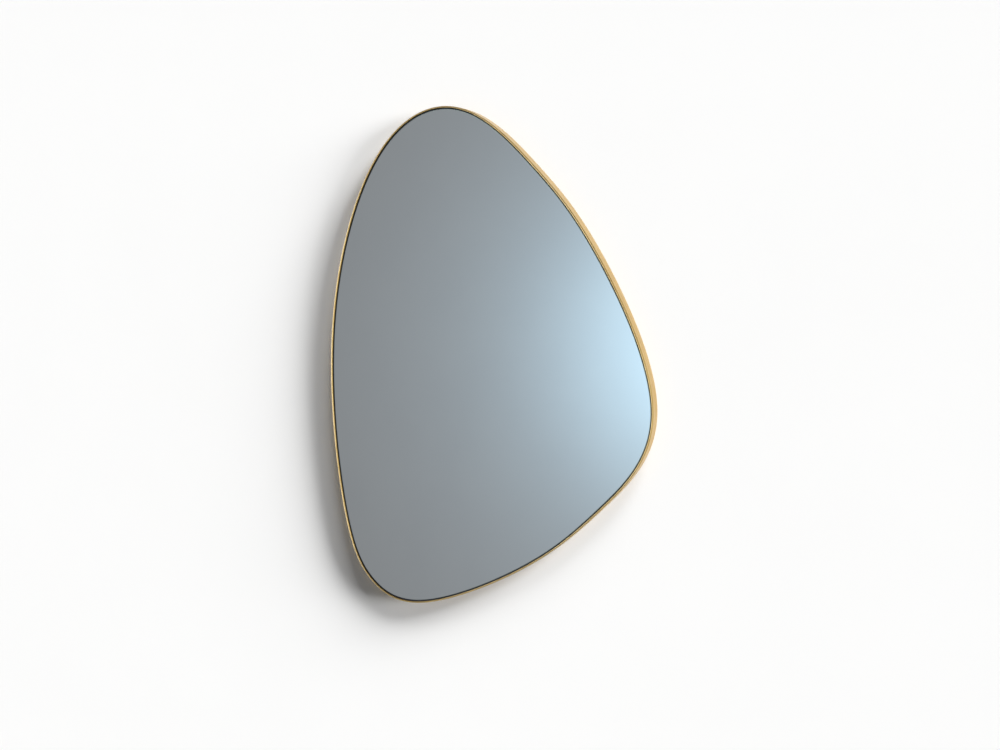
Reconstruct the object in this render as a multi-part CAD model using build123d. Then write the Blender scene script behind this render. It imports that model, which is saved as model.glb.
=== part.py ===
from build123d import *
import math
import os

# Wall mirror with a rounded-triangle outline in a thin flat-bar band, as it hangs.
# Millimetres. X is to the right as seen from the room, Y runs into the wall, Z is up.
# The origin is the middle of the band's rear rim, on the face of the wall.

# Whole mirror
WIDTH = 700.0
HEIGHT = 1000.0
DEPTH = 25.0

# Handles of the closed curve that the outside of the band follows, clockwise from the lower right.
# They only set the shape: the curve is stretched to WIDTH by HEIGHT and centred.
HANDLES = (
    (244, -264), (126, -382), (-154, -525), (-267, -475), (-328, -364), (-373, 80),
    (-245, 457), (-42, 535), (120, 375), (223, 265), (407, -91),
)
SAMPLES_PER_HANDLE = 5

# Clearance between pieces that are pushed or glued together
FIT = 0.05

# Band: one flat bar bent edge to edge round the glass, with a broken front edge
BAND_THICK = 3.0
BAND_FRONT_ROUND = 0.9
BAND_REAR_ROUND = 0.4

# Silvered glass, set back from the lip of the band
GLASS_THICK = 4.0
GLASS_RECESS = 2.0
GLASS_ARRIS = 0.8

# Black edge seal between the band and the glass
SEAL_WIDTH = 2.5
SEAL_RECESS = 2.6
SEAL_ROUND = 0.6

# Foam tape between the glass and the board
TAPE_THICK = 1.0
TAPE_WIDTH = 25.0
TAPE_END_MARGIN = 60.0
TAPE_ACROSS = (-0.37, -0.21, -0.05, 0.11, 0.27)

# Backing board
BOARD_THICK = 9.0
BOARD_PLAY = 0.5
BOARD_CHAMFER = 0.6

# Angle lugs spot-welded inside the band, screwed to the board
LUG_COUNT = 8
LUG_START = 0.035
LUG_THICK = 2.0
LUG_WIDTH = 26.0
LUG_REACH = 22.0
LUG_BEND = 1.5
LUG_CORNER = 7.0
LUG_RIM_MARGIN = 1.5
LUG_HOLE_IN = 13.0

# Pan-head screws: shank radius, head radius, head height, length under the head
LUG_SCREW = (1.75, 3.5, 2.4, 9.0)
STRAP_SCREW = (2.0, 4.0, 2.6, 9.0)
SCREW_HOLE_PLAY = 0.3
PILOT_PLAY = 0.03
PILOT_EXTRA = 0.4

# Hangers: a strap folded round the straight bar of a D ring
HANGER_HALF_SPACING = 150.0
HANGER_UP = 0.23
WIRE_R = 1.6
RING_HALF_WIDTH = 14.0
RING_TALL = 22.0
RING_CORNER = 3.5
RING_BUTT_GAP = 0.4
EYE_PLAY = 0.2
EYE_LENGTH = 19.0
EYE_SLIT = 0.6
STRAP_THICK = 1.5
STRAP_WIDTH = 22.0
STRAP_BELOW = 58.0
STRAP_NECK = 7.0
STRAP_CORNER = 2.0
STRAP_HOLES_BELOW = (12.0, 31.0, 48.0)

# Bumpers that stand between the board and the wall
BUMPER_R = 7.0
BUMPER_ROUND = 1.5
BUMPER_SPOTS = ((-0.18, 0.41), (-0.41, -0.04), (-0.28, -0.42), (0.39, -0.11))

# Depths of the layers, measured back from the lip of the band
GLASS_BACK = GLASS_RECESS + GLASS_THICK
BOARD_FRONT = GLASS_BACK + TAPE_THICK
BOARD_BACK = BOARD_FRONT + BOARD_THICK

# Insets of the nested edges, measured in from the outside of the band
SEAL_OUTSIDE = BAND_THICK + FIT
GLASS_EDGE = BAND_THICK + SEAL_WIDTH
BOARD_EDGE = BAND_THICK + BOARD_PLAY

# Radii of the eye that the strap makes round the bar of the ring
EYE_R = WIRE_R + EYE_PLAY
EYE_OUT = EYE_R + STRAP_THICK


def raw_point(handles, t):
    """Point and direction at t on the closed cubic B-spline of some handles."""
    i, u = int(t), t % 1.0
    near = [handles[(i + k) % len(handles)] for k in (-1, 0, 1, 2)]
    place = ((1 - u) ** 3, 3 * u**3 - 6 * u**2 + 4, -3 * u**3 + 3 * u**2 + 3 * u + 1, u**3)
    slope = (-((1 - u) ** 2), 3 * u**2 - 4 * u, -3 * u**2 + 2 * u + 1, u**2)
    point = [sum(w * h[axis] for w, h in zip(place, near)) / 6 for axis in (0, 1)]
    along = [sum(w * h[axis] for w, h in zip(slope, near)) for axis in (0, 1)]
    return point, along


def stretched(handles):
    """The same handles, moved and scaled so that their curve is centred and exactly to size."""
    steps = [k / 40 for k in range(40 * len(handles))]
    points = [raw_point(handles, t)[0] for t in steps]
    fit = []
    for axis, size in ((0, WIDTH), (1, HEIGHT)):
        low = min(p[axis] for p in points)
        high = max(p[axis] for p in points)
        fit.append(((low + high) / 2, size / (high - low)))
    return [tuple((h[a] - fit[a][0]) * fit[a][1] for a in (0, 1)) for h in handles]


EDGE_HANDLES = stretched(HANDLES)


def edge_point(t, inset):
    """Point of the outline at t, moved inward at right angles to the edge."""
    (x, z), (dx, dz) = raw_point(EDGE_HANDLES, t)
    length = math.hypot(dx, dz)
    return (x + inset * dz / length, z - inset * dx / length)


def edge_curve(inset):
    """The closed curve that runs everywhere at one inset from the outside of the band."""
    count = SAMPLES_PER_HANDLE * len(EDGE_HANDLES)
    return Spline(*[edge_point(k / SAMPLES_PER_HANDLE, inset) for k in range(count)], periodic=True)


def front_plane(depth):
    """Plane across the mirror at a depth behind the lip, with X across and Z up."""
    return Plane(origin=(0, depth - DEPTH, 0), x_dir=(1, 0, 0), z_dir=(0, -1, 0))


def edge_face(inset):
    """Flat area inside the edge at one inset."""
    return make_face(edge_curve(inset))


def layer(shape, front, back):
    """Flat shape seen from the room, made solid between two depths."""
    return extrude(front_plane(front) * shape, back - front, dir=(0, 1, 0))


def at_depth(shape, depth):
    """Edges that run round the shape at a depth."""
    y = depth - DEPTH
    return shape.edges().filter_by_position(Axis.Y, y - FIT / 10, y + FIT / 10)


def back_place(x, z, turn=0.0):
    """Place on the back of the board: local Z points to the wall and local Y up before the turn."""
    plane = Plane(origin=(x, BOARD_BACK - DEPTH, z), x_dir=(-1, 0, 0), z_dir=(0, 1, 0))
    return plane.location * Rot(0, 0, turn)


def band():
    """Flat-bar ring with rounded lip edges."""
    ring = layer(edge_face(0) - edge_face(BAND_THICK), 0, DEPTH)
    ring = fillet(at_depth(ring, 0), BAND_FRONT_ROUND)
    return fillet(at_depth(ring, DEPTH), BAND_REAR_ROUND)


def glass():
    """Pane with a ground arris on both faces."""
    pane = layer(edge_face(GLASS_EDGE), GLASS_RECESS, GLASS_BACK)
    return chamfer(at_depth(pane, GLASS_RECESS) + at_depth(pane, GLASS_BACK), GLASS_ARRIS)


def seal():
    """Strip with a rounded face that fills the gap between band and glass, down to the board."""
    ring = layer(edge_face(SEAL_OUTSIDE) - edge_face(GLASS_EDGE - FIT), SEAL_RECESS, BOARD_FRONT)
    return fillet(at_depth(ring, SEAL_RECESS), SEAL_ROUND)


def bare_board():
    """Board with broken edges, before its pilot holes."""
    board = layer(edge_face(BOARD_EDGE), BOARD_FRONT, BOARD_BACK)
    return chamfer(at_depth(board, BOARD_FRONT) + at_depth(board, BOARD_BACK), BOARD_CHAMFER)


def tape_strip(x):
    """Upright strip of foam tape with square ends, kept clear of the edge of the glass."""
    glued = edge_face(TAPE_END_MARGIN)
    sides = [Line((x + s, -HEIGHT), (x + s, HEIGHT)) & glued for s in (-TAPE_WIDTH / 2, TAPE_WIDTH / 2)]
    low = max(side.bounding_box().min.Y for side in sides)
    high = min(side.bounding_box().max.Y for side in sides)
    return layer(Pos(x, (low + high) / 2) * Rectangle(TAPE_WIDTH, high - low), GLASS_BACK, BOARD_FRONT)


def lug_spots():
    """Middle of each lug on the inner wall of the band, turned so that local Y points inward."""
    rim = edge_curve(BAND_THICK)
    spots = []
    for k in range(LUG_COUNT):
        u = (LUG_START + k / LUG_COUNT) % 1.0
        point, along = rim @ u, rim % u
        spots.append((point.X, point.Y, math.degrees(math.atan2(along.Y, along.X)) + 180))
    return spots


def lug(x, z, turn):
    """Angle lug: a foot that follows the inner wall of the band and a drilled tab on the board."""
    here = Pos(x, z) * Rot(0, 0, turn)
    blank = edge_face(SEAL_OUTSIDE) & here * RectangleRounded(LUG_WIDTH, 2 * LUG_REACH, LUG_CORNER)
    inner = edge_face(SEAL_OUTSIDE + LUG_THICK)
    tab = (blank & inner) - here * Pos(0, LUG_HOLE_IN) * Circle(LUG_SCREW[0] + SCREW_HOLE_PLAY)
    angle = layer(blank - inner, BOARD_BACK, DEPTH - LUG_RIM_MARGIN)
    angle += layer(tab, BOARD_BACK, BOARD_BACK + LUG_THICK)
    for above, inward in ((LUG_THICK, LUG_THICK), (0, 0)):
        spot = here * Pos(0, FIT + inward)
        near = Vector(spot.position.X, BOARD_BACK + above - DEPTH, spot.position.Y)
        bend = min(at_depth(angle, BOARD_BACK + above), key=lambda edge: edge.distance_to(near))
        angle = fillet(bend, LUG_BEND + LUG_THICK - above)
    return angle


def pan_screw(size):
    """Pan-head screw along local Z, head up, underside of the head at the local origin."""
    shank, head, tall, length = size
    brim = 0.45 * tall
    corners = ((0, tall), (0, -length), (shank, 2 * shank - length), (shank, 0), (head, 0), (head, brim))
    dome = ThreePointArc((head, brim), (0.72 * head, 0.88 * tall), (0, tall))
    body = revolve(Plane.XZ * make_face(Polyline(*corners) + dome), Axis.Z)
    cross = Rectangle(1.2 * head, 0.26 * head) + Rectangle(0.26 * head, 1.2 * head)
    return body - Pos(0, 0, 0.4 * tall) * extrude(cross, tall)


def pilot(size, above):
    """Hole in the board for a screw whose head stands a distance above it."""
    depth = size[3] - above + PILOT_EXTRA
    return Pos(0, 0, -depth / 2) * Cylinder(size[0] + PILOT_PLAY, depth)


def strap():
    """Hanger strap: a drilled plate that narrows to a neck and curls round the bar of the ring."""
    body_tall = STRAP_BELOW - STRAP_NECK
    plate = Pos(0, -STRAP_NECK - body_tall / 2) * RectangleRounded(STRAP_WIDTH, body_tall, STRAP_CORNER)
    plate += Pos(0, -STRAP_NECK) * Rectangle(EYE_LENGTH, 2 * STRAP_NECK)
    for below in STRAP_HOLES_BELOW:
        plate -= Pos(0, -below) * Circle(STRAP_SCREW[0] + SCREW_HOLE_PLAY)
    curl = Pos(0, EYE_OUT) * (Circle(EYE_OUT) - Circle(EYE_R))
    slit = Pos(-EYE_OUT, STRAP_THICK + EYE_SLIT / 2) * Rectangle(EYE_OUT * 2, EYE_SLIT)
    side = Plane(origin=(-EYE_LENGTH / 2, 0, 0), x_dir=(0, 1, 0), z_dir=(1, 0, 0))
    flat = extrude(plate & Pos(0, -STRAP_BELOW) * Rectangle(STRAP_WIDTH, 2 * STRAP_BELOW), STRAP_THICK)
    return flat + extrude(side * (curl - slit), EYE_LENGTH)


def d_ring():
    """D ring of round wire whose ends meet inside the eye of the strap, standing up in local Y."""
    half, corner, gap = RING_HALF_WIDTH, RING_CORNER, RING_BUTT_GAP / 2
    shoulder = RING_TALL - half
    path = Line((gap, 0), (half - corner, 0))
    path += JernArc((half - corner, 0), (1, 0), corner, 90)
    path += Line((half, corner), (half, shoulder))
    path += JernArc((half, shoulder), (0, 1), half, 180)
    path += Line((-half, shoulder), (-half, corner))
    path += JernArc((-half, corner), (0, -1), corner, 90)
    path += Line((corner - half, 0), (-gap, 0))
    section = Plane(origin=(gap, 0, 0), z_dir=(1, 0, 0)) * Circle(WIRE_R)
    return Pos(0, 0, EYE_OUT) * sweep(section, path=path)


def bumper():
    """Round rubber bumper with a softened end."""
    tall = DEPTH - BOARD_BACK
    post = extrude(Circle(BUMPER_R), tall)
    return fillet(post.edges().sort_by(Axis.Z)[-1], BUMPER_ROUND)


def build():
    """Every piece by its name."""
    balance = edge_face(GLASS_EDGE).center()
    hangers = {
        "left": back_place(balance.X - HANGER_HALF_SPACING, HANGER_UP * HEIGHT),
        "right": back_place(balance.X + HANGER_HALF_SPACING, HANGER_UP * HEIGHT),
    }
    strap_holes = [place * Pos(0, -below, 0) for place in hangers.values() for below in STRAP_HOLES_BELOW]
    lugs = lug_spots()
    lug_holes = [back_place(x, z, -turn) * Pos(0, LUG_HOLE_IN, 0) for x, z, turn in lugs]

    board = bare_board() - [hole * pilot(LUG_SCREW, LUG_THICK) for hole in lug_holes]
    board -= [hole * pilot(STRAP_SCREW, STRAP_THICK) for hole in strap_holes]

    pieces = {"frame_band": band(), "mirror_glass": glass(), "edge_seal": seal(), "backing_board": board}
    for k, across in enumerate(TAPE_ACROSS, 1):
        pieces[f"tape_strip_{k}"] = tape_strip(across * WIDTH)
    for k, spot in enumerate(lugs, 1):
        pieces[f"band_lug_{k}"] = lug(*spot)
    lug_screw, strap_screw = pan_screw(LUG_SCREW), pan_screw(STRAP_SCREW)
    pieces["lug_screws"] = Compound([hole * Pos(0, 0, LUG_THICK) * lug_screw for hole in lug_holes])
    pieces["hanger_screws"] = Compound([hole * Pos(0, 0, STRAP_THICK) * strap_screw for hole in strap_holes])
    for side, place in hangers.items():
        pieces[f"hanger_strap_{side}"] = place * strap()
        pieces[f"hanger_ring_{side}"] = place * d_ring()
    for k, (across, up) in enumerate(BUMPER_SPOTS, 1):
        pieces[f"wall_bumper_{k}"] = back_place(across * WIDTH, up * HEIGHT) * bumper()
    return pieces


os.makedirs("parts", exist_ok=True)
for name, shape in build().items():
    shape.label = name
    export_step(shape, f"parts/{name}.step")
    print(name, round(shape.volume / 1000, 2), "cm3")
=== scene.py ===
import logging
import math
from collections.abc import Callable, Iterator, Sequence
from contextlib import contextmanager
from dataclasses import dataclass
from enum import Enum
from typing import ClassVar

import bpy
from mathutils import Matrix, Vector


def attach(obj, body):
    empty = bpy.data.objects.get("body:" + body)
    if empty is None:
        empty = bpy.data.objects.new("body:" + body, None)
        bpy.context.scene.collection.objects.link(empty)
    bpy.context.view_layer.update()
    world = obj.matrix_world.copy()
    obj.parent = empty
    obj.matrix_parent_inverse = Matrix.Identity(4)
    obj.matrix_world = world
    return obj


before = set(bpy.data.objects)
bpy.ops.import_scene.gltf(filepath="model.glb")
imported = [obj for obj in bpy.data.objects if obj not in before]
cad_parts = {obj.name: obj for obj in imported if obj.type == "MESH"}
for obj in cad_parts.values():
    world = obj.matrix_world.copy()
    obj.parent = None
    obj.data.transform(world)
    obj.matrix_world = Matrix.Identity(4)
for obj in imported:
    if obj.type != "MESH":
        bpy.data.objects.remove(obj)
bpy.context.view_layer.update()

# Wall mirror with a rounded-triangle outline in a thin gold flat-bar band.
# Metres. X is to the right as seen from the room, Y runs into the wall, Z is up.

LOG = logging.getLogger("wall_mirror")

Colour = tuple[float, float, float]
Value = bpy.types.NodeSocket | float | Sequence[float]


class Body(Enum):
    """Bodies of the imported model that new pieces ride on."""

    MIRROR = "mirror"


class Slot(Enum):
    """Material slots of the record that new pieces take their finish from."""

    GOLD = "gold_metal"


class SeeThrough(Enum):
    """When a studio surface lets light through."""

    FROM_BEHIND = "from behind"
    TO_ALL_BUT_THE_CAMERA = "to all but the camera"


class Socket(Enum):
    """Kinds of socket on the shared effects."""

    NUMBER = "NodeSocketFloat"
    VECTOR = "NodeSocketVector"


# ---- outline


@dataclass(frozen=True)
class Outline:
    """Closed curve that the outside of the band follows, clockwise from the lower right.

    The handles only set the shape: the curve is stretched to the width and height and centred.
    """

    width: float = 0.700
    height: float = 1.000
    steps: int = 40
    handles: tuple[tuple[float, float], ...] = (
        (244, -264), (126, -382), (-154, -525), (-267, -475), (-328, -364), (-373, 80),
        (-245, 457), (-42, 535), (120, 375), (223, 265), (407, -91),
    )

    def place(self, t: float, handles: Sequence[Sequence[float]]) -> tuple[Vector, Vector]:
        """Finds a point of the closed cubic B-spline and the direction there.

        Args:
            t: Place along the curve, one unit a handle.
            handles: The curve's handles.

        Returns:
            The point and the unit direction of travel, both in X and Z.
        """
        i, u = int(t), t % 1.0
        near = [Vector(handles[(i + k) % len(handles)]) for k in (-1, 0, 1, 2)]
        spots = ((1 - u) ** 3, 3 * u**3 - 6 * u**2 + 4, -3 * u**3 + 3 * u**2 + 3 * u + 1, u**3)
        slopes = (-((1 - u) ** 2), 3 * u**2 - 4 * u, -3 * u**2 + 2 * u + 1, u**2)
        point = sum((w * h for w, h in zip(spots, near)), Vector((0, 0))) / 6
        along = sum((w * h for w, h in zip(slopes, near)), Vector((0, 0)))
        return point, along.normalized()

    def fitted(self) -> list[Vector]:
        """Gives the handles stretched and centred so that the curve is exactly to size.

        Returns:
            The handles in metres.
        """
        count = self.steps * len(self.handles)
        points = [self.place(k / self.steps, self.handles)[0] for k in range(count)]
        low = Vector((min(p.x for p in points), min(p.y for p in points)))
        high = Vector((max(p.x for p in points), max(p.y for p in points)))
        middle, span = (low + high) / 2, high - low
        scale = Vector((self.width / span.x, self.height / span.y))
        return [(Vector(h) - middle) * scale for h in self.handles]

    def loop(self, inset: float) -> list[tuple[Vector, Vector]]:
        """Follows the whole outline at one inset from the outside of the band.

        Args:
            inset: Distance in from the outside, in metres.

        Returns:
            Points with their directions of travel, evenly spread in t.
        """
        handles = self.fitted()
        turns = []
        for k in range(self.steps * len(handles)):
            point, along = self.place(k / self.steps, handles)
            turns.append((point + inset * Vector((along.y, -along.x)), along))
        return turns

    def walk(self, inset: float, distances: Sequence[float]) -> list[tuple[Vector, Vector]]:
        """Finds the places at given distances along the outline.

        Args:
            inset: Distance in from the outside, in metres.
            distances: Shares of the whole length, from 0 to 1 and round again.

        Returns:
            A point and a direction of travel for each distance.
        """
        turns = self.loop(inset)
        turns.append(turns[0])
        lengths = [0.0]
        for (a, _), (b, _) in zip(turns, turns[1:]):
            lengths.append(lengths[-1] + (b - a).length)
        found = []
        for share in distances:
            goal = (share % 1.0) * lengths[-1]
            k = max(i for i, length in enumerate(lengths[:-1]) if length <= goal)
            part = (goal - lengths[k]) / (lengths[k + 1] - lengths[k])
            found.append((turns[k][0].lerp(turns[k + 1][0], part), turns[k][1].lerp(turns[k + 1][1], part)))
        return found

    def length(self, inset: float) -> float:
        """Length of the outline at one inset, in metres."""
        points = [point for point, _ in self.loop(inset)]
        return sum((b - a).length for a, b in zip(points, points[1:] + points[:1]))


# ---- modelling


@contextmanager
def editing(piece: bpy.types.Object, mode: str = "VERT") -> Iterator[bpy.types.Mesh]:
    """Opens one piece alone in edit mode with nothing selected in it.

    Args:
        piece: The piece to shape.
        mode: What is selected in edit mode: VERT, EDGE or FACE.

    Yields:
        The piece's mesh.
    """
    bpy.ops.object.select_all(action="DESELECT")
    bpy.context.view_layer.objects.active = piece
    piece.select_set(True)
    bpy.ops.object.mode_set(mode="EDIT")
    bpy.ops.mesh.select_mode(type=mode)
    bpy.ops.mesh.select_all(action="DESELECT")
    yield piece.data
    bpy.ops.object.mode_set(mode="OBJECT")


def pick(piece: bpy.types.Object, domain: str, test: Callable[[bpy.types.bpy_struct], bool]) -> None:
    """Selects vertices, edges or faces of the piece in edit mode by a test on each.

    Args:
        piece: The piece, in edit mode.
        domain: Which of the mesh's lists to go through: vertices, edges or polygons.
        test: Takes one of them and says whether it is selected.
    """
    bpy.ops.mesh.select_all(action="DESELECT")
    bpy.ops.object.mode_set(mode="OBJECT")
    for part in getattr(piece.data, domain):
        part.select = bool(test(part))
    bpy.ops.object.mode_set(mode="EDIT")


def settle(piece: bpy.types.Object) -> None:
    """Moves the piece's place into its mesh, so that its object sits at the origin.

    Args:
        piece: The piece.
    """
    bpy.ops.object.select_all(action="DESELECT")
    bpy.context.view_layer.objects.active = piece
    piece.select_set(True)
    bpy.ops.object.transform_apply(location=True, rotation=True, scale=True)


def apply_all(piece: bpy.types.Object) -> None:
    """Applies the piece's modifiers in order.

    Args:
        piece: The piece.
    """
    bpy.ops.object.select_all(action="DESELECT")
    bpy.context.view_layer.objects.active = piece
    piece.select_set(True)
    for modifier in list(piece.modifiers):
        bpy.ops.object.modifier_apply(modifier=modifier.name)


def copy_to(pattern: bpy.types.Object, name: str, places: Sequence[Matrix]) -> bpy.types.Object:
    """Puts copies of a finished piece at several places, as one piece with its own mesh.

    Args:
        pattern: The piece that was modelled once, at the origin.
        name: Name of the new piece.
        places: Where each copy goes.

    Returns:
        The joined copies.
    """
    copies = []
    for place in places:
        one = bpy.data.objects.new(name, pattern.data.copy())
        one.data.transform(place)
        bpy.context.scene.collection.objects.link(one)
        copies.append(one)
    bpy.ops.object.select_all(action="DESELECT")
    for one in copies:
        one.select_set(True)
    bpy.context.view_layer.objects.active = copies[0]
    if len(copies) > 1:
        bpy.ops.object.join()
    copies[0].name = copies[0].data.name = name
    return copies[0]


def discard(piece: bpy.types.Object) -> None:
    """Takes away a pattern that was only modelled to be copied."""
    bpy.data.objects.remove(piece)


@dataclass(frozen=True)
class WeldBead:
    """Bead of overlapping weld ripples, lying along Y about the origin.

    The hollows, the tips, the flattening and the rounded ends are shares of the radius.
    """

    radius: float
    length: float
    ripples: int
    sides: int = 14
    hollow: float = 0.84
    tip: float = 0.55
    flat: float = 0.85
    end_inset: float = 0.2
    end_bulge: float = 0.1
    ragged: float = 0.00006
    seed: int = 11

    def model(self) -> bpy.types.Object:
        """Models one bead from a cylinder by cutting rings, pinching them and rounding the ends.

        Returns:
            The bead, with its modifiers applied.
        """
        bpy.ops.object.select_all(action="DESELECT")
        bpy.ops.mesh.primitive_cylinder_add(
            vertices=self.sides,
            radius=self.radius,
            depth=self.length,
            end_fill_type="NGON",
            rotation=(math.pi / 2, 0, 0),
        )
        bead = bpy.context.object
        settle(bead)
        half = self.length / 2
        cuts = 2 * self.ripples - 1
        step = self.length / (cuts + 1)
        with editing(bead, "EDGE") as mesh:
            along = [vertex.co.y for vertex in mesh.vertices]
            pick(bead, "edges", lambda e: abs(along[e.vertices[0]] - along[e.vertices[1]]) > half)
            bpy.ops.mesh.subdivide(number_cuts=cuts, quadcorner="INNERVERT")
        with editing(bead):
            pick(bead, "vertices", lambda v: round((v.co.y + half) / step) % 2 == 0)
            bpy.ops.transform.resize(value=(self.hollow, 1, self.hollow))
            pick(bead, "vertices", lambda v: abs(v.co.y) > half - step / 4)
            bpy.ops.transform.resize(value=(self.tip, 1, self.tip))
            bpy.ops.mesh.select_all(action="SELECT")
            bpy.ops.transform.vertex_random(offset=self.ragged, uniform=0.0, normal=0.0, seed=self.seed)
            bpy.ops.transform.resize(value=(1, 1, self.flat))
        with editing(bead, "FACE"):
            pick(bead, "polygons", lambda f: len(f.vertices) > 4)
            bpy.ops.mesh.inset(thickness=self.radius * self.end_inset, depth=self.radius * self.end_bulge)
        rounding = bead.modifiers.new("rounding", "SUBSURF")
        rounding.levels = rounding.render_levels = 1
        apply_all(bead)
        bpy.ops.object.shade_smooth()
        return bead


# ---- node wiring


class Wiring:
    """Adds nodes to one node tree and joins their sockets."""

    def __init__(self, tree: bpy.types.NodeTree) -> None:
        """Starts on a tree, which may already have nodes."""
        self.tree = tree

    def add(
        self, kind: str, inputs: dict[str | int, Value] | None = None, **settings: object
    ) -> bpy.types.Node:
        """Adds a node, sets it up and feeds its inputs.

        Args:
            kind: Type of the node.
            inputs: A socket or a plain value for each named or numbered input.
            **settings: The node's own settings.

        Returns:
            The new node.
        """
        node = self.tree.nodes.new(kind)
        for name, value in settings.items():
            setattr(node, name, value)
        for name, value in (inputs or {}).items():
            self.feed(node.inputs[name], value)
        return node

    def feed(self, socket: bpy.types.NodeSocket, value: Value) -> None:
        """Links another socket to this one, or sets its plain value.

        Args:
            socket: The socket to feed.
            value: What feeds it.
        """
        if isinstance(value, bpy.types.NodeSocket):
            self.tree.links.new(value, socket)
        else:
            plain = isinstance(value, (int, float))
            wide = socket.type == "RGBA" and not plain and len(value) == 3
            socket.default_value = value if plain or not wide else (*value, 1.0)

    def reckon(self, operation: str, *values: Value) -> bpy.types.NodeSocket:
        """Result of one Math node."""
        return self.add("ShaderNodeMath", dict(enumerate(values)), operation=operation).outputs[0]

    def times(self, one: Value, other: Value) -> bpy.types.NodeSocket:
        """Product of two values."""
        return self.reckon("MULTIPLY", one, other)

    def rest(self, share: Value) -> bpy.types.NodeSocket:
        """What is left of one when a share is taken."""
        return self.reckon("SUBTRACT", 1.0, share)

    def spread(
        self, value: Value, low: float, high: float, start: Value = 0.0, end: Value = 1.0
    ) -> bpy.types.NodeSocket:
        """Turns a value between two limits into another range with soft ends.

        Args:
            value: What is read.
            low: Where the new range starts.
            high: Where the new range ends.
            start: What comes out at low.
            end: What comes out at high.

        Returns:
            The socket with the new value.
        """
        inputs = {"Value": value, "From Min": low, "From Max": high, "To Min": start, "To Max": end}
        return self.add("ShaderNodeMapRange", inputs, interpolation_type="SMOOTHSTEP").outputs["Result"]

    def blend(self, factor: Value, one: Value, other: Value) -> bpy.types.NodeSocket:
        """Mixes two colours.

        Args:
            factor: Share of the second colour.
            one: First colour.
            other: Second colour.

        Returns:
            The socket with the mixed colour.
        """
        node = self.add("ShaderNodeMix", {0: factor}, data_type="RGBA")
        self.feed(node.inputs[6], one)
        self.feed(node.inputs[7], other)
        return node.outputs[2]

    def vector(
        self, operation: str, inputs: dict[str | int, Value], output: str = "Vector"
    ) -> bpy.types.NodeSocket:
        """Result of one Vector Math node."""
        return self.add("ShaderNodeVectorMath", inputs, operation=operation).outputs[output]

    def stretch(self, vector: Value, amount: Value) -> bpy.types.NodeSocket:
        """Multiplies a vector by another."""
        return self.vector("MULTIPLY", {0: vector, 1: amount})

    def noise(
        self, vector: Value, scale: Value, detail: float = 3.0, roughness: float = 0.55
    ) -> bpy.types.NodeSocket:
        """Value of a noise pattern.

        Args:
            vector: Where the pattern is read.
            scale: Waves a metre.
            detail: Number of finer layers.
            roughness: Share of the finer layers.

        Returns:
            The socket with a value about one half.
        """
        inputs = {"Vector": vector, "Scale": scale, "Detail": detail, "Roughness": roughness}
        return self.add("ShaderNodeTexNoise", inputs).outputs[0]

    def place(self) -> bpy.types.NodeSocket:
        """Place on the piece, in its own metres."""
        return self.add("ShaderNodeTexCoord").outputs["Object"]

    def facing(self) -> bpy.types.NodeSocket:
        """How far the surface faces the wall: -1 to the room, 0 across and 1 to the wall."""
        normal = self.add("ShaderNodeNewGeometry").outputs["True Normal"]
        return self.add("ShaderNodeSeparateXYZ", {0: normal}).outputs[1]

    def raised(self, height: Value, distance: float, strength: float = 1.0) -> bpy.types.NodeSocket:
        """Normal of a surface with a height on it.

        Args:
            height: The height, from 0 to 1.
            distance: How tall a height of 1 is, in metres.
            strength: Share of the effect.

        Returns:
            The socket with the new normal.
        """
        inputs = {"Height": height, "Distance": distance, "Strength": strength}
        return self.add("ShaderNodeBump", inputs).outputs[0]


class Effect:
    """Shader node group with named inputs and outputs, built once and placed in many materials."""

    built: ClassVar[dict[str, bpy.types.NodeTree]] = {}

    def __init__(
        self, name: str, inputs: dict[str, tuple[Socket, Value]], outputs: dict[str, Socket]
    ) -> None:
        """Makes the empty group.

        Args:
            name: Name of the group.
            inputs: Kind and usual value of each input.
            outputs: Kind of each output.
        """
        self.tree = bpy.data.node_groups.new(name, "ShaderNodeTree")
        for label, (kind, usual) in inputs.items():
            socket = self.tree.interface.new_socket(label, in_out="INPUT", socket_type=kind.value)
            socket.default_value = usual
        for label, kind in outputs.items():
            self.tree.interface.new_socket(label, in_out="OUTPUT", socket_type=kind.value)
        self.wires = Wiring(self.tree)
        self.given = self.tree.nodes.new("NodeGroupInput").outputs
        self.result = self.tree.nodes.new("NodeGroupOutput").inputs
        Effect.built[name] = self.tree

    @staticmethod
    def use(wires: Wiring, name: str, inputs: dict[str, Value]) -> bpy.types.NodeOutputs:
        """Places a finished group in a material.

        Args:
            wires: Wiring of the material.
            name: Name of the group.
            inputs: A socket or plain value for each input that differs from the usual one.

        Returns:
            The placed group's outputs.
        """
        node = wires.add("ShaderNodeGroup", node_tree=Effect.built[name])
        for label, value in inputs.items():
            wires.feed(node.inputs[label], value)
        return node.outputs


def build_effects() -> None:
    """Builds the effects that several finishes share."""
    build_streaks()
    build_wear()
    build_marks()
    build_fibres()


def build_streaks() -> None:
    """Fine and broad lines that run along a drawn or brushed surface."""
    streaks = Effect(
        "drawn_streaks",
        {
            "Vector": (Socket.VECTOR, (0, 0, 0)),
            "Stretch": (Socket.VECTOR, (6, 1400, 6)),
            "Broad": (Socket.NUMBER, 0.16),
        },
        {"Tone": Socket.NUMBER, "Height": Socket.NUMBER},
    )
    wires, given = streaks.wires, streaks.given
    fine = wires.noise(wires.stretch(given["Vector"], given["Stretch"]), 1.0, 4.0, 0.65)
    wide_scale = wires.stretch(given["Stretch"], given["Broad"])
    broad = wires.noise(wires.stretch(given["Vector"], wide_scale), 1.0, 2.0, 0.5)
    both = wires.reckon("ADD", wires.times(fine, 0.5), wires.times(broad, 0.5))
    wires.feed(streaks.result["Tone"], wires.spread(both, 0.36, 0.64))
    wires.feed(streaks.result["Height"], fine)


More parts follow.
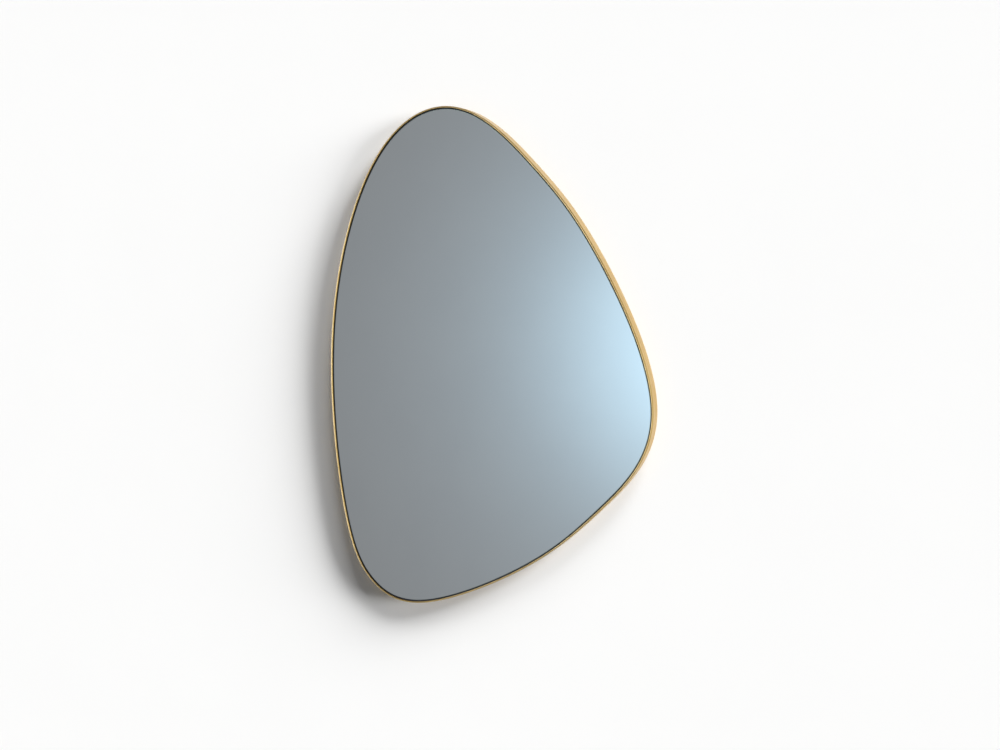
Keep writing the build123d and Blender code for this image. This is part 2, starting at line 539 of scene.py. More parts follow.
def build_wear() -> None:
    """Patches along the edges, where a finish is rubbed."""
    wear = Effect(
        "edge_wear",
        {
            "Vector": (Socket.VECTOR, (0, 0, 0)),
            "Radius": (Socket.NUMBER, 0.0008),
            "Breakup": (Socket.NUMBER, 90.0),
        },
        {"Mask": Socket.NUMBER},
    )
    wires, given = wear.wires, wear.given
    soft = wires.add("ShaderNodeBevel", {"Radius": given["Radius"]}, samples=4).outputs[0]
    hard = wires.add("ShaderNodeNewGeometry").outputs["True Normal"]
    dot = wires.vector("DOT_PRODUCT", {0: soft, 1: hard}, "Value")
    patches = wires.spread(wires.noise(given["Vector"], given["Breakup"], 3.0, 0.6), 0.35, 0.65)
    edge = wires.spread(wires.rest(dot), 0.01, 0.16)
    wires.feed(wear.result["Mask"], wires.times(edge, patches))


def build_marks() -> None:
    """Broad clouds and fine specks of dust, tarnish and handling."""
    marks = Effect(
        "handling_marks",
        {
            "Vector": (Socket.VECTOR, (0, 0, 0)),
            "Cloud Scale": (Socket.NUMBER, 9.0),
            "Speck Scale": (Socket.NUMBER, 900.0),
        },
        {"Clouds": Socket.NUMBER, "Specks": Socket.NUMBER},
    )
    wires, given = marks.wires, marks.given
    clouds = wires.noise(given["Vector"], given["Cloud Scale"], 4.0, 0.6)
    specks = wires.noise(given["Vector"], given["Speck Scale"], 2.0, 0.7)
    wires.feed(marks.result["Clouds"], wires.spread(clouds, 0.35, 0.7))
    wires.feed(marks.result["Specks"], wires.spread(specks, 0.58, 0.78))


def build_fibres() -> None:
    """Felted fibres that lie flat in all directions."""
    fibres = Effect(
        "pressed_fibres",
        {
            "Vector": (Socket.VECTOR, (0, 0, 0)),
            "Scale": (Socket.NUMBER, 420.0),
            "Drift": (Socket.NUMBER, 0.004),
            "Drift Scale": (Socket.NUMBER, 260.0),
        },
        {"Tone": Socket.NUMBER, "Height": Socket.NUMBER},
    )
    wires, given = fibres.wires, fibres.given
    waves = {"Vector": given["Vector"], "Scale": given["Drift Scale"], "Detail": 2.0}
    push = wires.add("ShaderNodeTexNoise", waves).outputs[1]
    offset = wires.vector("SCALE", {0: push, "Scale": given["Drift"]})
    bent = wires.vector("ADD", {0: given["Vector"], 1: offset})
    flat = wires.noise(wires.stretch(bent, (1.0, 1.0, 4.0)), given["Scale"], 5.0, 0.7)
    cross = wires.noise(wires.stretch(bent, (4.0, 1.0, 1.0)), given["Scale"], 5.0, 0.7)
    both = wires.reckon("ADD", wires.times(flat, 0.5), wires.times(cross, 0.5))
    wires.feed(fibres.result["Tone"], wires.spread(both, 0.4, 0.62))
    wires.feed(fibres.result["Height"], both)


# ---- finishes


@dataclass(frozen=True)
class Finish:
    """Base of the finishes: a named node material with one Principled shader.

    Scales are in waves a metre, and the depth of the grain is in metres.
    """

    name: str
    cloud_scale: float = 9.0
    speck_scale: float = 900.0
    grain: float = 0.00003

    def make(self) -> bpy.types.Material:
        """Builds the material.

        Returns:
            The finished material.
        """
        material = bpy.data.materials.new(self.name)
        material.use_nodes = True
        wires = Wiring(material.node_tree)
        shader = material.node_tree.nodes["Principled BSDF"]
        self.wire(wires, shader.inputs)
        return material

    def wire(self, wires: Wiring, shader: bpy.types.NodeInputs) -> None:
        """Feeds the shader; each finish has its own way."""
        raise NotImplementedError

    def marks(self, wires: Wiring, place: Value) -> bpy.types.NodeOutputs:
        """Clouds and specks at this finish's own scales."""
        scales = {"Vector": place, "Cloud Scale": self.cloud_scale, "Speck Scale": self.speck_scale}
        return Effect.use(wires, "handling_marks", scales)


@dataclass(frozen=True)
class GoldPlate(Finish):
    """Satin gold plate on a bar that was brushed along its length."""

    bright: Colour = (0.74, 0.525, 0.205)
    deep: Colour = (0.59, 0.385, 0.12)
    worn: Colour = (0.92, 0.80, 0.55)
    rough: float = 0.27
    stretch: Colour = (5.0, 1300.0, 5.0)
    cloud_scale: float = 14.0
    grain: float = 0.00005
    edge: float = 0.0006

    def wire(self, wires: Wiring, shader: bpy.types.NodeInputs) -> None:
        """Streaks along the bar, cloudy plating, paler worn edges.

        Args:
            wires: Wiring of the material.
            shader: Inputs of its shader.
        """
        place = wires.place()
        streaks = Effect.use(wires, "drawn_streaks", {"Vector": place, "Stretch": self.stretch})
        marks = self.marks(wires, place)
        wear = Effect.use(wires, "edge_wear", {"Vector": place, "Radius": self.edge})["Mask"]
        tone = wires.blend(streaks["Tone"], self.deep, self.bright)
        clouded = wires.blend(wires.times(marks["Clouds"], 0.25), tone, self.deep)
        wires.feed(shader["Base Color"], wires.blend(wires.times(wear, 0.6), clouded, self.worn))
        dull = wires.spread(streaks["Tone"], 0.0, 1.0, self.rough + 0.07, self.rough)
        wires.feed(shader["Roughness"], wires.reckon("ADD", dull, wires.times(marks["Clouds"], 0.05)))
        wires.feed(shader["Metallic"], 1.0)
        wires.feed(shader["Normal"], wires.raised(streaks["Height"], self.grain, 0.6))


@dataclass(frozen=True)
class WeldMetal(Finish):
    """Weld metal under the plating, with heat tints."""

    plated: Colour = (0.74, 0.52, 0.24)
    burnt: Colour = (0.24, 0.15, 0.08)
    cloud_scale: float = 240.0
    speck_scale: float = 2600.0
    grain: float = 0.00008

    def wire(self, wires: Wiring, shader: bpy.types.NodeInputs) -> None:
        """Blotches of heat tint and fine spatter.

        Args:
            wires: Wiring of the material.
            shader: Inputs of its shader.
        """
        place = wires.place()
        marks = self.marks(wires, place)
        tint = wires.blend(marks["Clouds"], self.plated, self.burnt)
        spatter = wires.times(marks["Specks"], 0.5)
        wires.feed(shader["Base Color"], wires.blend(spatter, tint, self.burnt))
        wires.feed(shader["Roughness"], wires.spread(marks["Clouds"], 0.0, 1.0, 0.3, 0.55))
        wires.feed(shader["Metallic"], 1.0)
        wires.feed(shader["Normal"], wires.raised(marks["Specks"], self.grain, 0.5))


@dataclass(frozen=True)
class SilveredGlass(Finish):
    """Mirror glass: silver seen through the front, ground edges and grey backing paint."""

    silver: Colour = (0.86, 0.90, 0.90)
    cloudy: Colour = (0.82, 0.86, 0.865)
    ground: Colour = (0.20, 0.26, 0.24)
    paint: Colour = (0.27, 0.28, 0.29)
    cloud_scale: float = 5.0
    speck_scale: float = 700.0

    def wire(self, wires: Wiring, shader: bpy.types.NodeInputs) -> None:
        """Silver where it faces the room, paint where it faces the wall, ground glass between.

        Args:
            wires: Wiring of the material.
            shader: Inputs of its shader.
        """
        place = wires.place()
        facing = wires.facing()
        front = wires.reckon("LESS_THAN", facing, -0.9)
        back = wires.reckon("GREATER_THAN", facing, 0.9)
        marks = self.marks(wires, place)
        silver = wires.blend(wires.times(marks["Clouds"], 0.5), self.silver, self.cloudy)
        speckled = wires.blend(marks["Specks"], self.paint, tuple(0.8 * c for c in self.paint))
        frosted = wires.blend(marks["Clouds"], self.ground, tuple(1.25 * c for c in self.ground))
        edges = wires.blend(back, frosted, speckled)
        wires.feed(shader["Base Color"], wires.blend(front, edges, silver))
        wires.feed(shader["Metallic"], front)
        film = wires.reckon("ADD", 0.012, wires.times(marks["Clouds"], 0.02))
        matt = wires.spread(marks["Specks"], 0.0, 1.0, 0.45, 0.6)
        edge_rough = wires.times(matt, wires.rest(front))
        wires.feed(shader["Roughness"], wires.reckon("ADD", wires.times(film, front), edge_rough))
        wires.feed(shader["Coat Weight"], wires.times(front, 0.25))
        shader["Coat Roughness"].default_value = 0.02
        grit = wires.times(marks["Specks"], wires.rest(front))
        wires.feed(shader["Normal"], wires.raised(grit, self.grain, 0.4))


@dataclass(frozen=True)
class SealRubber(Finish):
    """Matt black sealing strip."""

    dark: Colour = (0.010, 0.010, 0.011)
    dusty: Colour = (0.045, 0.044, 0.042)
    cloud_scale: float = 30.0
    speck_scale: float = 1700.0
    grain: float = 0.00006

    def wire(self, wires: Wiring, shader: bpy.types.NodeInputs) -> None:
        """Fine dust on black and a skin with shallow pits.

        Args:
            wires: Wiring of the material.
            shader: Inputs of its shader.
        """
        place = wires.place()
        marks = self.marks(wires, place)
        dust = wires.times(marks["Clouds"], wires.spread(marks["Specks"], 0.0, 1.0, 0.25, 0.9))
        wires.feed(shader["Base Color"], wires.blend(dust, self.dark, self.dusty))
        wires.feed(shader["Roughness"], wires.spread(marks["Clouds"], 0.0, 1.0, 0.5, 0.68))
        wires.feed(shader["Normal"], wires.raised(marks["Specks"], self.grain, 0.5))


@dataclass(frozen=True)
class Fibreboard(Finish):
    """Raw fibreboard: pressed fibres on the faces and a darker sawn edge."""

    pale: Colour = (0.50, 0.365, 0.235)
    deep: Colour = (0.34, 0.225, 0.13)
    sawn: Colour = (0.22, 0.14, 0.08)
    cloud_scale: float = 11.0
    speck_scale: float = 380.0
    grain: float = 0.00025

    def wire(self, wires: Wiring, shader: bpy.types.NodeInputs) -> None:
        """Felted fibres, a few dark shives and cloudy pressing marks.

        Args:
            wires: Wiring of the material.
            shader: Inputs of its shader.
        """
        place = wires.place()
        fibres = Effect.use(wires, "pressed_fibres", {"Vector": place})
        marks = self.marks(wires, place)
        across = wires.spread(wires.reckon("ABSOLUTE", wires.facing()), 0.5, 0.9)
        face = wires.blend(fibres["Tone"], self.deep, self.pale)
        clouded = wires.blend(wires.times(marks["Clouds"], 0.3), face, self.deep)
        flecked = wires.blend(wires.times(marks["Specks"], 0.55), clouded, self.sawn)
        wires.feed(shader["Base Color"], wires.blend(across, self.sawn, flecked))
        wires.feed(shader["Roughness"], wires.spread(fibres["Tone"], 0.0, 1.0, 0.85, 0.68))
        wires.feed(shader["Normal"], wires.raised(fibres["Height"], self.grain, 0.5))


@dataclass(frozen=True)
class FoamTape(Finish):
    """White closed-cell foam, with painted shade in the hollows of its cells."""

    skin: Colour = (0.84, 0.84, 0.81)
    painted_hollow_shade: Colour = (0.62, 0.62, 0.60)
    cell_scale: float = 1500.0
    grain: float = 0.0002

    def wire(self, wires: Wiring, shader: bpy.types.NodeInputs) -> None:
        """Round cells whose hollows are darkened with painted shade.

        Args:
            wires: Wiring of the material.
            shader: Inputs of its shader.
        """
        place = wires.place()
        foam = wires.add("ShaderNodeTexVoronoi", {"Vector": place, "Scale": self.cell_scale})
        cells = foam.outputs["Distance"]
        hollow = wires.spread(cells, 0.15, 0.6)
        # Painted shade: the hollows of the foam cells get a darker colour than the white skin.
        wires.feed(shader["Base Color"], wires.blend(hollow, self.painted_hollow_shade, self.skin))
        wires.feed(shader["Roughness"], wires.spread(cells, 0.0, 0.7, 0.95, 0.8))
        wires.feed(shader["Normal"], wires.raised(cells, self.grain, 0.6))


@dataclass(frozen=True)
class ZincPlate(Finish):
    """Bright zinc plate on screws and pressed steel."""

    bright: Colour = (0.74, 0.75, 0.77)
    warm: Colour = (0.66, 0.65, 0.60)
    dull: Colour = (0.42, 0.43, 0.45)
    rough: float = 0.27
    stretch: Colour = (900.0, 900.0, 60.0)
    broad: float = 0.3
    spangle: float = 260.0
    cloud_scale: float = 70.0
    speck_scale: float = 2200.0
    edge: float = 0.0004
    edge_patches: float = 500.0

    def wire(self, wires: Wiring, shader: bpy.types.NodeInputs) -> None:
        """Rolling lines, zinc flowers, brighter worn edges and dull stains.

        Args:
            wires: Wiring of the material.
            shader: Inputs of its shader.
        """
        place = wires.place()
        lines = {"Vector": place, "Stretch": self.stretch, "Broad": self.broad}
        streaks = Effect.use(wires, "drawn_streaks", lines)
        marks = self.marks(wires, place)
        rubbed = {"Vector": place, "Radius": self.edge, "Breakup": self.edge_patches}
        wear = Effect.use(wires, "edge_wear", rubbed)["Mask"]
        flowers = wires.add("ShaderNodeTexVoronoi", {"Vector": place, "Scale": self.spangle})
        flower = wires.add("ShaderNodeSeparateColor", {0: flowers.outputs["Color"]}).outputs[0]
        plate = wires.blend(wires.times(flower, 0.5), self.bright, self.warm)
        stained = wires.blend(wires.times(marks["Clouds"], 0.35), plate, self.dull)
        wires.feed(shader["Base Color"], wires.blend(wear, stained, self.bright))
        wires.feed(shader["Metallic"], 1.0)
        dull = wires.spread(streaks["Tone"], 0.0, 1.0, self.rough + 0.12, self.rough)
        wires.feed(shader["Roughness"], wires.reckon("ADD", dull, wires.times(flower, 0.08)))
        wires.feed(shader["Normal"], wires.raised(streaks["Height"], self.grain, 0.5))


@dataclass(frozen=True)
class NickelWire(Finish):
    """Nickel-plated drawn wire."""

    bright: Colour = (0.80, 0.78, 0.74)
    cloudy: Colour = (0.64, 0.61, 0.56)
    die_lines: Colour = (3000.0, 3000.0, 200.0)
    cloud_scale: float = 160.0
    speck_scale: float = 3000.0
    grain: float = 0.00002

    def wire(self, wires: Wiring, shader: bpy.types.NodeInputs) -> None:
        """Soft clouds of tarnish and hairline die marks.

        Args:
            wires: Wiring of the material.
            shader: Inputs of its shader.
        """
        place = wires.place()
        marks = self.marks(wires, place)
        lines = wires.noise(wires.stretch(place, self.die_lines), 1.0, 3.0, 0.6)
        wires.feed(shader["Base Color"], wires.blend(marks["Clouds"], self.bright, self.cloudy))
        wires.feed(shader["Metallic"], 1.0)
        wires.feed(shader["Roughness"], wires.spread(marks["Clouds"], 0.0, 1.0, 0.14, 0.26))
        wires.feed(shader["Normal"], wires.raised(lines, self.grain, 0.4))


@dataclass(frozen=True)
class BumperRubber(Finish):
    """Dark grey moulded rubber with a pale bloom."""

    dark: Colour = (0.030, 0.030, 0.032)
    bloom: Colour = (0.095, 0.093, 0.090)
    cloud_scale: float = 130.0
    speck_scale: float = 2400.0
    grain: float = 0.00008

    def wire(self, wires: Wiring, shader: bpy.types.NodeInputs) -> None:
        """Cloudy bloom and a fine moulded texture.

        Args:
            wires: Wiring of the material.
            shader: Inputs of its shader.
        """
        place = wires.place()
        marks = self.marks(wires, place)
        wires.feed(shader["Base Color"], wires.blend(marks["Clouds"], self.dark, self.bloom))
        wires.feed(shader["Roughness"], wires.spread(marks["Clouds"], 0.0, 1.0, 0.6, 0.8))
        wires.feed(shader["Normal"], wires.raised(marks["Specks"], self.grain, 0.6))


@dataclass(frozen=True)
class PalePlaster(Finish):
    """Plain pale surface of the studio, seen through from behind where it is a wall."""

    tone: Colour = (0.92, 0.92, 0.915)
    shade: Colour = (0.90, 0.90, 0.895)
    see_through: SeeThrough = SeeThrough.FROM_BEHIND
    cloud_scale: float = 3.0

    def wire(self, wires: Wiring, shader: bpy.types.NodeInputs) -> None:
        """Barely clouded matt paint.

        Args:
            wires: Wiring of the material.
            shader: Inputs of its shader.
        """
        clouds = wires.noise(wires.place(), self.cloud_scale, 4.0)
        wires.feed(shader["Base Color"], wires.blend(clouds, self.tone, self.shade))
        wires.feed(shader["Roughness"], 0.9)
        wires.feed(shader["Specular IOR Level"], 0.0)
        tree = wires.tree
        if self.see_through is SeeThrough.FROM_BEHIND:
            open_to = wires.add("ShaderNodeNewGeometry").outputs["Backfacing"]
        else:
            open_to = wires.rest(wires.add("ShaderNodeLightPath").outputs["Is Camera Ray"])
        clear = wires.add("ShaderNodeBsdfTransparent").outputs[0]
        paint = tree.nodes["Principled BSDF"].outputs[0]
        seen = wires.add("ShaderNodeMixShader", {0: open_to, 1: paint, 2: clear}).outputs[0]
        wires.feed(tree.nodes["Material Output"].inputs["Surface"], seen)


# ---- sub-assemblies


def dress(material: bpy.types.Material, *nodes: str) -> None:
    """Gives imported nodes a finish.

    Args:
        material: The finish.
        *nodes: Names of the nodes.
    """
    for node in nodes:
        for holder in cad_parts[node].material_slots:
            holder.material = material
        LOG.info("%s: %s", node, material.name)


@dataclass
class FrameBand:
    """Band with its welded lugs. Sizes repeat those of the solids."""

    outline: Outline
    thick: float = 0.003
    lugs: int = 8
    first_lug: float = 0.035
    lug_width: float = 0.026
    foot_front: float = -0.009
    foot_rear: float = -0.0015
    lug_bead: WeldBead = WeldBead(radius=0.0013, length=0.0058, ripples=5)
    butt_bead: WeldBead = WeldBead(radius=0.0016, length=0.0074, ripples=7, flat=0.7, seed=5)
    bead_out: float = 0.0004
    butt_place: float = 0.305

    def upright(self, point: Vector, along: Vector, side: float, turn: float) -> Matrix:
        """Place of a bead that stands in a corner on the inner wall of the band.

        Args:
            point: Point on the inner wall, in X and Z.
            along: Direction of the wall there.
            side: How far the bead stands in from the wall.
            turn: Quarter turns that vary the copies.

        Returns:
            The matrix that moves a bead there from the origin.
        """
        inward = Vector((along.y, -along.x)) * side
        middle = (self.foot_front + self.foot_rear) / 2
        spot = Vector((point.x + inward.x, middle, point.y + inward.y))
        tilt = math.atan2(-along.y, along.x) + turn * math.pi
        return Matrix.Translation(spot) @ Matrix.Rotation(tilt, 4, "Y")

    def build(self, weld: bpy.types.Material) -> list[bpy.types.Object]:
        """Models the weld beads beside each lug and at the joint of the band.

        Args:
            weld: Finish of the beads.

        Returns:
            The new pieces.
        """
        pieces = []
        pattern = self.lug_bead.model()
        whole = self.outline.length(self.thick)
        reach = (self.lug_width / 2 + self.bead_out) / whole
        for k in range(self.lugs):
            share = self.first_lug + k / self.lugs
            ends = self.outline.walk(self.thick, (share - reach, share + reach))
            places = [self.upright(p, a, self.bead_out, turn) for turn, (p, a) in enumerate(ends)]
            pieces.append(copy_to(pattern, f"lug_weld_{k + 1}", places))
        discard(pattern)
        pattern = self.butt_bead.model()
        point, along = self.outline.walk(self.thick, (self.butt_place,))[0]
        pieces.append(copy_to(pattern, "band_butt_weld", [self.upright(point, along, 0.0, 0)]))
        discard(pattern)
        for piece in pieces:
            piece.data.materials.clear()
            piece.data.materials.append(weld)
            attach(piece, Body.MIRROR.value)
            LOG.info("%s: %d faces", piece.name, len(piece.data.polygons))
        return pieces

    def dress(self, gold: bpy.types.Material) -> None:
        """Gilds the band and its lugs."""
        dress(gold, "frame_band", *(f"band_lug_{k + 1}" for k in range(self.lugs)))


@dataclass
class MirrorPane:
    """Silvered glass with its black edge seal and the foam tape behind it."""

    strips: int = 5

    def dress(self, glass: bpy.types.Material, seal: bpy.types.Material, foam: bpy.types.Material) -> None:
        """Finishes the pane, the seal and the strips of tape.

        Args:
            glass: Finish of the pane.
            seal: Finish of the seal.
            foam: Finish of the tape.
        """
        dress(glass, "mirror_glass")
        dress(seal, "edge_seal")
        dress(foam, *(f"tape_strip_{k + 1}" for k in range(self.strips)))


@dataclass
class Backing:
    """Backing board, the screws that hold it and the bumpers on it."""

    bumpers: int = 4

    def dress(
        self, board: bpy.types.Material, zinc: bpy.types.Material, rubber: bpy.types.Material
    ) -> None:
        """Finishes the board, its screws and its bumpers.

        Args:
            board: Finish of the board.
            zinc: Finish of the screws.
            rubber: Finish of the bumpers.
        """
        dress(board, "backing_board")
        dress(zinc, "lug_screws")
        dress(rubber, *(f"wall_bumper_{k + 1}" for k in range(self.bumpers)))


@dataclass
class Hangers:
    """Straps, rings and screws that hang the mirror."""

    sides: tuple[str, ...] = ("left", "right")

    def dress(self, steel: bpy.types.Material, wire: bpy.types.Material, zinc: bpy.types.Material) -> None:
        """Finishes the straps, the rings and their screws.

        Args:
            steel: Finish of the straps.
            wire: Finish of the rings.
            zinc: Finish of the screws.
        """
        dress(steel, *(f"hanger_strap_{side}" for side in self.sides))
        dress(wire, *(f"hanger_ring_{side}" for side in self.sides))
        dress(zinc, "hanger_screws")


# ---- studio


@dataclass(frozen=True)
class SoftSun:
    """Broad soft lamp far away: its tilt from the wall's normal, its spread, its strength and its rise.

    The rise is the angle above the horizon of the way its light runs along the wall. Angles are in degrees.
    """

    name: str
    tilt: float
    spread: float
    strength: float
    rise: float = 40.0

    def hang(self, lit: bpy.types.Collection) -> None:
        """Makes the lamp, left out of the highlights in the metal.

        Args:
            lit: What the lamp lights.
        """
        tilt, up = math.radians(self.tilt), math.radians(self.rise)
        way = Vector((math.sin(tilt) * math.cos(up), -math.cos(tilt), math.sin(tilt) * math.sin(up)))
        data = bpy.data.lights.new(self.name, "SUN")
        data.energy, data.angle = self.strength, math.radians(self.spread)
        lamp = bpy.data.objects.new(self.name, data)
        lamp.location = 3 * way
        lamp.rotation_euler = (-way).to_track_quat("-Z", "Y").to_euler()
        lamp.visible_glossy = False
        lamp.light_linking.receiver_collection = lit
        bpy.context.scene.collection.objects.link(lamp)


@dataclass(frozen=True)
class SoftBox:
    """Square soft lamp that is turned to the middle of the mirror: its power in watts and its place."""

    name: str
    power: float
    spot: Colour
    size: float = 1.4

    def hang(self, lit: bpy.types.Collection) -> None:
        """Makes the lamp.

        Args:
            lit: What the lamp lights.
        """
        data = bpy.data.lights.new(self.name, "AREA")
        data.energy, data.size = self.power, self.size
        lamp = bpy.data.objects.new(self.name, data)
        lamp.location = self.spot
        lamp.rotation_euler = (-Vector(self.spot)).to_track_quat("-Z", "Y").to_euler()
        lamp.visible_glossy = False
        lamp.light_linking.receiver_collection = lit
        bpy.context.scene.collection.objects.link(lamp)


class Bearing(Enum):
    """Ways to tell where a direction in the room points."""

    SIDE = "angle from straight ahead of the mirror, to the right, in radians"
    RISE = "angle above the horizon, in radians"
    DEPTH = "how far it points into the wall, from -1 to 1"


@dataclass(frozen=True)
class Zone:
    """Part of the room that takes over softly from the rest between two bearings."""

    bearing: Bearing
    start: float
    full: float
    colour: Colour


@dataclass(frozen=True)
class Window:
    """Bright window in a hazy room: its direction, its width there, its light and the haze near and far."""

    way: Colour = (-0.2225, -0.970, -0.0979)
    width: float = 0.1455
    light: Colour = (0.50, 0.76, 0.94)
    haze_near: Colour = (0.405, 0.445, 0.49)
    haze_far: Colour = (0.235, 0.232, 0.235)
    haze_width: float = 0.55

    def seen(self, wires: Wiring, way: Value) -> bpy.types.NodeSocket:
        """Colour of the room in one direction.

        Args:
            wires: Wiring of the world.
            way: The direction.

        Returns:
            The socket with the colour.
        """
        apart = wires.vector("DISTANCE", {0: way, 1: self.way}, "Value")
        square = wires.reckon("POWER", wires.reckon("DIVIDE", apart, self.width), 2.0)
        glow = wires.reckon("EXPONENT", wires.times(square, -1.0))
        haze = wires.blend(wires.spread(apart, 0.0, self.haze_width), self.haze_near, self.haze_far)
        light = wires.vector("SCALE", {0: self.light, "Scale": glow})
        return wires.vector("ADD", {0: haze, 1: light})


@dataclass
class Studio:
    """Camera, wall, floor, lamps and the room that the mirror shows."""

    outline: Outline
    azimuth: float = 25.757
    elevation: float = 7.566
    eye: Colour = (0.9171, -1.8387, 0.2553)
    focal_pixels: float = 1053.98
    frame_pixels: float = 1000.0
    sensor: float = 36.0
    wall_gap: float = 0.0003
    wall_half: float = 4.0
    floor_down: float = 1.30
    hole_inset: float = 0.0015
    hole_step: int = 8
    washes: tuple[SoftSun, ...] = (
        SoftSun("wall_wash_above", 76, 20, 2.7, rise=70),
        SoftSun("wall_wash_corner", 80, 18, 7.7),
        SoftSun("wall_wash_side", 80, 18, 5.3, rise=10),
    )
    floor_wash: SoftSun = SoftSun("floor_wash", 90, 40, 2.8, rise=90)
    key: SoftSun = SoftSun("key", 55, 30, 4.6)
    rear: tuple[SoftBox, ...] = (
        SoftBox("rear_left", 28, (-1.0, 1.5, 1.1)),
        SoftBox("rear_right", 17, (1.3, 1.3, 0.2)),
    )
    fill: float = 0.15
    window: Window = Window()
    zones: tuple[Zone, ...] = (
        Zone(Bearing.SIDE, -0.10, 0.25, (1.15, 1.16, 1.14)),
        Zone(Bearing.SIDE, -0.64, -0.80, (3.4, 3.75, 5.2)),
        Zone(Bearing.RISE, 0.10, 0.36, (0.12, 0.10, 0.08)),
        Zone(Bearing.RISE, -0.37, -0.60, (0.15, 0.14, 0.13)),
        Zone(Bearing.DEPTH, -0.05, 0.1, (0.8, 0.8, 0.79)),
    )

    def camera(self) -> None:
        """Puts the camera where the photograph was taken from."""
        data = bpy.data.cameras.new("camera")
        data.sensor_width = self.sensor
        data.lens = self.focal_pixels / self.frame_pixels * self.sensor
        eye = bpy.data.objects.new("camera", data)
        bpy.context.scene.collection.objects.link(eye)
        az, el = math.radians(self.azimuth), math.radians(self.elevation)
        aim = Vector((-math.sin(az) * math.cos(el), math.cos(az) * math.cos(el), -math.sin(el)))
        eye.location = self.eye
        eye.rotation_euler = aim.to_track_quat("-Z", "Y").to_euler()
        bpy.context.scene.camera = eye

    def wall(self, paint: bpy.types.Material) -> bpy.types.Object:
        """Models the wall as one sheet that is open behind the mirror.

        Args:
            paint: Finish of the wall.

        Returns:
            The wall.
        """
        half, deep = self.wall_half, self.wall_gap
        rim = [point for point, _ in self.outline.loop(self.hole_inset)][:: self.hole_step]
        corners = [(-half, -self.floor_down), (half, -self.floor_down), (half, half), (-half, half)]
        points = [(x, deep, z) for x, z in corners] + [(p.x, deep, p.y) for p in rim]
        count = len(rim)
        edges = [(k, (k + 1) % 4) for k in range(4)] + [(4 + k, 4 + (k + 1) % count) for k in range(count)]
        mesh = bpy.data.meshes.new("studio_wall")
        mesh.from_pydata(points, edges, [])
        wall = bpy.data.objects.new("studio_wall", mesh)
        bpy.context.scene.collection.objects.link(wall)
        with editing(wall, "EDGE"):
            bpy.ops.mesh.select_all(action="SELECT")
            bpy.ops.mesh.fill()
        with editing(wall, "FACE"):
            bpy.ops.mesh.select_all(action="SELECT")
            bpy.ops.mesh.normals_make_consistent(inside=False)
        if wall.data.polygons[0].normal.y > 0:
            with editing(wall, "FACE"):
                bpy.ops.mesh.select_all(action="SELECT")
                bpy.ops.mesh.flip_normals()
        wall.data.materials.append(paint)
        return wall

    def floor(self, paint: bpy.types.Material) -> bpy.types.Object:
        """Lays the floor well below the mirror.

        Args:
            paint: Finish of the floor.

        Returns:
            The floor.
        """
        bpy.ops.object.select_all(action="DESELECT")
        bpy.ops.mesh.primitive_plane_add(size=2 * self.wall_half, location=(0, 0, -self.floor_down))
        floor = bpy.context.object
        floor.name = "studio_floor"
        settle(floor)
        floor.data.materials.append(paint)
        return floor

    def lamps(self, wall: bpy.types.Object, floor: bpy.types.Object) -> None:
        """Hangs lamps for the wall and the floor alone, and a key and two rear lamps for the mirror.

        Args:
            wall: The wall.
            floor: The floor.
        """
        lit = {}
        for name, stage, state in (
            ("wall_alone", (wall,), "INCLUDE"),
            ("floor_alone", (floor,), "INCLUDE"),
            ("mirror_alone", (wall, floor), "EXCLUDE"),
        ):
            lit[name] = bpy.data.collections.new(name)
            for surface in stage:
                lit[name].objects.link(surface)
            for held in lit[name].collection_objects:
                held.light_linking.link_state = state
        for wash in self.washes:
            wash.hang(lit["wall_alone"])
        self.floor_wash.hang(lit["floor_alone"])
        self.key.hang(lit["mirror_alone"])
        for box in self.rear:
            box.hang(lit["mirror_alone"])

    def room(self) -> None:
        """Builds the world: white to the camera, a soft room to metal and glass, a fill to the rest."""
        world = bpy.data.worlds.new("studio")
        world.use_nodes = True
        bpy.context.scene.world = world
        wires = Wiring(world.node_tree)
        way = wires.add("ShaderNodeTexCoord").outputs["Generated"]
        x, y, z = wires.add("ShaderNodeSeparateXYZ", {0: way}).outputs
        told = {
            Bearing.SIDE: wires.reckon("ARCTAN2", x, wires.times(y, -1.0)),
            Bearing.RISE: wires.reckon("ARCSINE", z),
            Bearing.DEPTH: y,
        }
        seen = self.window.seen(wires, way)
        for zone in self.zones:
            seen = wires.blend(wires.spread(told[zone.bearing], zone.start, zone.full), seen, zone.colour)
        light = wires.add("ShaderNodeLightPath").outputs
        pure = (1.0, 1.0, 1.0)
        white, shown, plain = (
            wires.add("ShaderNodeBackground", {"Color": colour, "Strength": strength}).outputs[0]
            for colour, strength in ((pure, 1.0), (seen, 1.0), (pure, self.fill))
        )
        glossy = {0: light["Is Glossy Ray"], 1: plain, 2: shown}
        bounced = wires.add("ShaderNodeMixShader", glossy).outputs[0]
        direct = wires.reckon("MAXIMUM", light["Is Camera Ray"], light["Is Transmission Ray"])
        final = wires.add("ShaderNodeMixShader", {0: direct, 1: bounced, 2: white}).outputs[0]
        wires.feed(world.node_tree.nodes["World Output"].inputs["Surface"], final)

    def build(self) -> None:
        """Sets up the whole studio."""
        self.camera()
        wall_paint = PalePlaster("studio_wall_paint").make()
        floor_paint = PalePlaster("studio_floor_paint", see_through=SeeThrough.TO_ALL_BUT_THE_CAMERA).make()
        wall, floor = self.wall(wall_paint), self.floor(floor_paint)
        self.lamps(wall, floor)
        self.room()
        bpy.context.scene.view_settings.view_transform = "Standard"
        LOG.info("studio: camera, wall, floor, lamps and room")


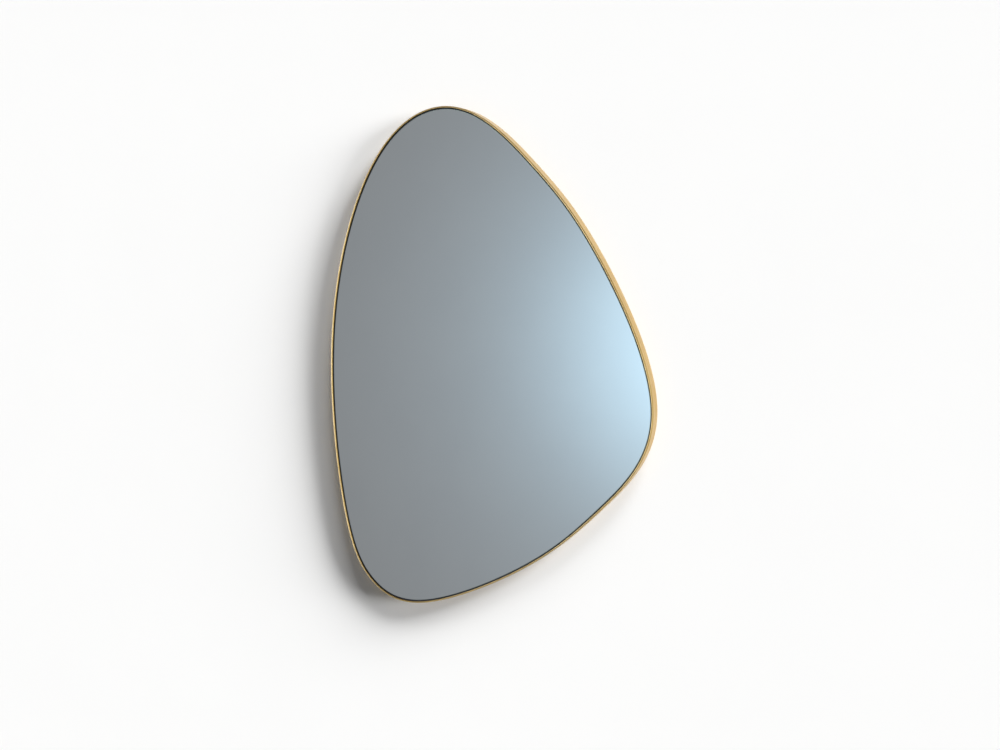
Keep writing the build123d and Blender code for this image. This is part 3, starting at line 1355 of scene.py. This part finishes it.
def main() -> None:
    """Builds the studio, dresses every node and adds the welds."""
    logging.basicConfig(level=logging.INFO, format="%(message)s")
    outline = Outline()
    Studio(outline).build()
    build_effects()
    band = FrameBand(outline)
    band.build(WeldMetal("weld_metal").make())
    band.dress(GoldPlate("gold_plate").make())
    glass, seal = SilveredGlass("silvered_glass").make(), SealRubber("seal_rubber").make()
    MirrorPane().dress(glass, seal, FoamTape("foam_tape").make())
    zinc = ZincPlate("zinc_plate").make()
    Backing().dress(Fibreboard("fibreboard").make(), zinc, BumperRubber("bumper_rubber").make())
    steel = ZincPlate("strap_steel", rough=0.32, stretch=(700.0, 700.0, 12.0), spangle=150.0).make()
    Hangers().dress(steel, NickelWire("nickel_wire").make(), zinc)


if __name__ == "__main__":
    main()
